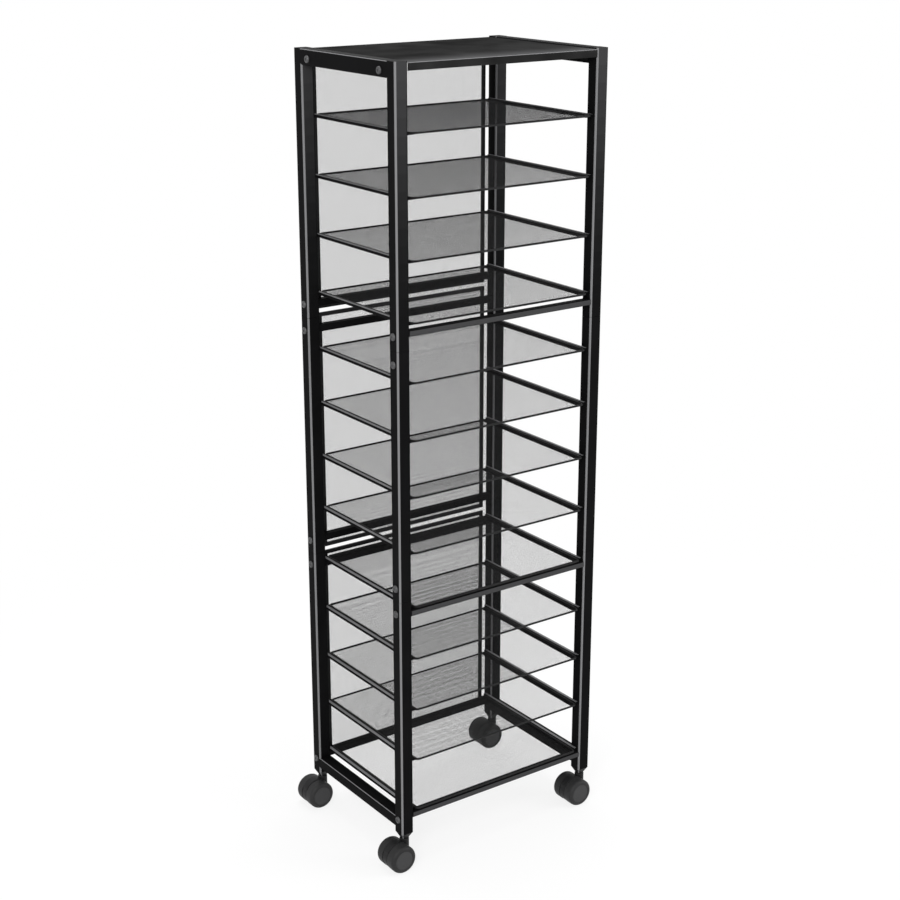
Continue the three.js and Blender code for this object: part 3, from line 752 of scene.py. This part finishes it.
caster_plastic = moulded_nylon("caster_plastic", CASTER_PLASTIC, HIGHLIGHT_COAT)
wheel_plastic = moulded_nylon("wheel_plastic", WHEEL_PLASTIC, WHEEL_FACE_SHEEN)
pin_steel = plated_steel("pin_steel", PIN_STEEL)
for side, x in post_middle_x.items():
    for end, y in post_middle_y.items():
        corner = f"{end}_{side}"
        body = f"caster_{corner}"
        stem_node = f"caster_stem_{corner}"
        hood_node = f"caster_housing_{corner}"
        finish_piece(plug(corner, x, y), caster_plastic, "caster_plastic", "frame", stem_node)
        finish_piece(hood(corner, x, y), caster_plastic, "caster_plastic", body, hood_node)
        for place, way in (("front", -1), ("rear", 1)):
            node = f"caster_wheel_{place}_{corner}"
            finish_piece(wheel(node, way), wheel_plastic, "wheel_plastic", node, node)
        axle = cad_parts[f"caster_axle_{corner}"]
        axle.data.materials.clear()
        axle.data.materials.append(pin_steel)

# Studio: a white floor that keeps a soft shadow, a white surround, and soft boxes to the left, to the
# right and above.
FLOOR_GLOW = 0.82
SHADOW_REACH = 0.55
FADE_END = 1.5
FLOOR_SIZE = 30
FLOOR_PAINT = (0.95, 0.95, 0.95, 1)
FLOOR_ROUGHNESS = 0.9
WHITE = (1, 1, 1, 1)
AMBIENT = 0.6


def background_rays(nodes, links):
    """One for rays from the camera, off a gloss or through glass, and zero for the light on the object."""
    path = nodes.new("ShaderNodeLightPath")
    either = nodes.new("ShaderNodeMath")
    either.operation = "MAXIMUM"
    any_seen = nodes.new("ShaderNodeMath")
    any_seen.operation = "MAXIMUM"
    links.new(path.outputs["Is Camera Ray"], either.inputs[0])
    links.new(path.outputs["Is Glossy Ray"], either.inputs[1])
    links.new(either.outputs["Value"], any_seen.inputs[0])
    links.new(path.outputs["Is Transmission Ray"], any_seen.inputs[1])
    return any_seen.outputs["Value"]


bpy.ops.mesh.primitive_plane_add(size=FLOOR_SIZE, location=(0, 0, 0))
floor = bpy.context.object
floor.name = "studio_floor"
floor_paint = bpy.data.materials.new("floor_paint")
floor_paint.use_nodes = True
nodes = floor_paint.node_tree.nodes
links = floor_paint.node_tree.links
paint = nodes["Principled BSDF"]
paint.inputs["Base Color"].default_value = FLOOR_PAINT
paint.inputs["Roughness"].default_value = FLOOR_ROUGHNESS
paint.inputs["Specular IOR Level"].default_value = 0.0
glow = nodes.new("ShaderNodeEmission")
glow.inputs["Strength"].default_value = 1.0
share = nodes.new("ShaderNodeMath")
share.operation = "MULTIPLY"
place = nodes.new("ShaderNodeTexCoord")
away = nodes.new("ShaderNodeVectorMath")
away.operation = "LENGTH"
fade = nodes.new("ShaderNodeMapRange")
fade.inputs["From Min"].default_value = SHADOW_REACH
fade.inputs["From Max"].default_value = FADE_END
fade.inputs["To Min"].default_value = FLOOR_GLOW
fade.inputs["To Max"].default_value = 1.0
blend = nodes.new("ShaderNodeMixShader")
links.new(place.outputs["Object"], away.inputs[0])
links.new(away.outputs["Value"], fade.inputs["Value"])
links.new(fade.outputs["Result"], share.inputs[1])
links.new(background_rays(nodes, links), share.inputs[0])
links.new(share.outputs["Value"], blend.inputs["Fac"])
links.new(paint.outputs["BSDF"], blend.inputs[1])
links.new(glow.outputs["Emission"], blend.inputs[2])
links.new(blend.outputs["Shader"], nodes["Material Output"].inputs["Surface"])
floor.data.materials.append(floor_paint)
floor.select_set(False)

world = bpy.data.worlds.new("white_surround")
bpy.context.scene.world = world
world.use_nodes = True
nodes = world.node_tree.nodes
links = world.node_tree.links
seen = nodes["Background"]
seen.inputs["Color"].default_value = WHITE
seen.inputs["Strength"].default_value = 1.0
ambient = nodes.new("ShaderNodeBackground")
ambient.inputs["Color"].default_value = WHITE
ambient.inputs["Strength"].default_value = AMBIENT
blend = nodes.new("ShaderNodeMixShader")
links.new(background_rays(nodes, links), blend.inputs["Fac"])
links.new(ambient.outputs["Background"], blend.inputs[1])
links.new(seen.outputs["Background"], blend.inputs[2])
links.new(blend.outputs["Shader"], nodes["World Output"].inputs["Surface"])


def soft_box(name, place, aim, width, height, power):
    """Rectangular lamp turned towards a point."""
    facing = (Vector(aim) - Vector(place)).to_track_quat("-Z", "Y")
    bpy.ops.object.light_add(type="AREA", location=place, rotation=facing.to_euler())
    lamp = bpy.context.object
    lamp.name = name
    lamp.data.shape = "RECTANGLE"
    lamp.data.size = width
    lamp.data.size_y = height
    lamp.data.energy = power


soft_box("key_box", place=(-2.6, -2.4, 2.6), aim=(0, 0, 0.7), width=1.2, height=1.6, power=75)
soft_box("fill_box", place=(2.6, -2.2, 1.8), aim=(0, 0, 0.7), width=1.4, height=1.6, power=40)
soft_box("top_box", place=(0.2, 0.3, 3.2), aim=(0, 0, 1.2), width=1.6, height=1.6, power=40)

bpy.context.scene.view_settings.view_transform = "Standard"
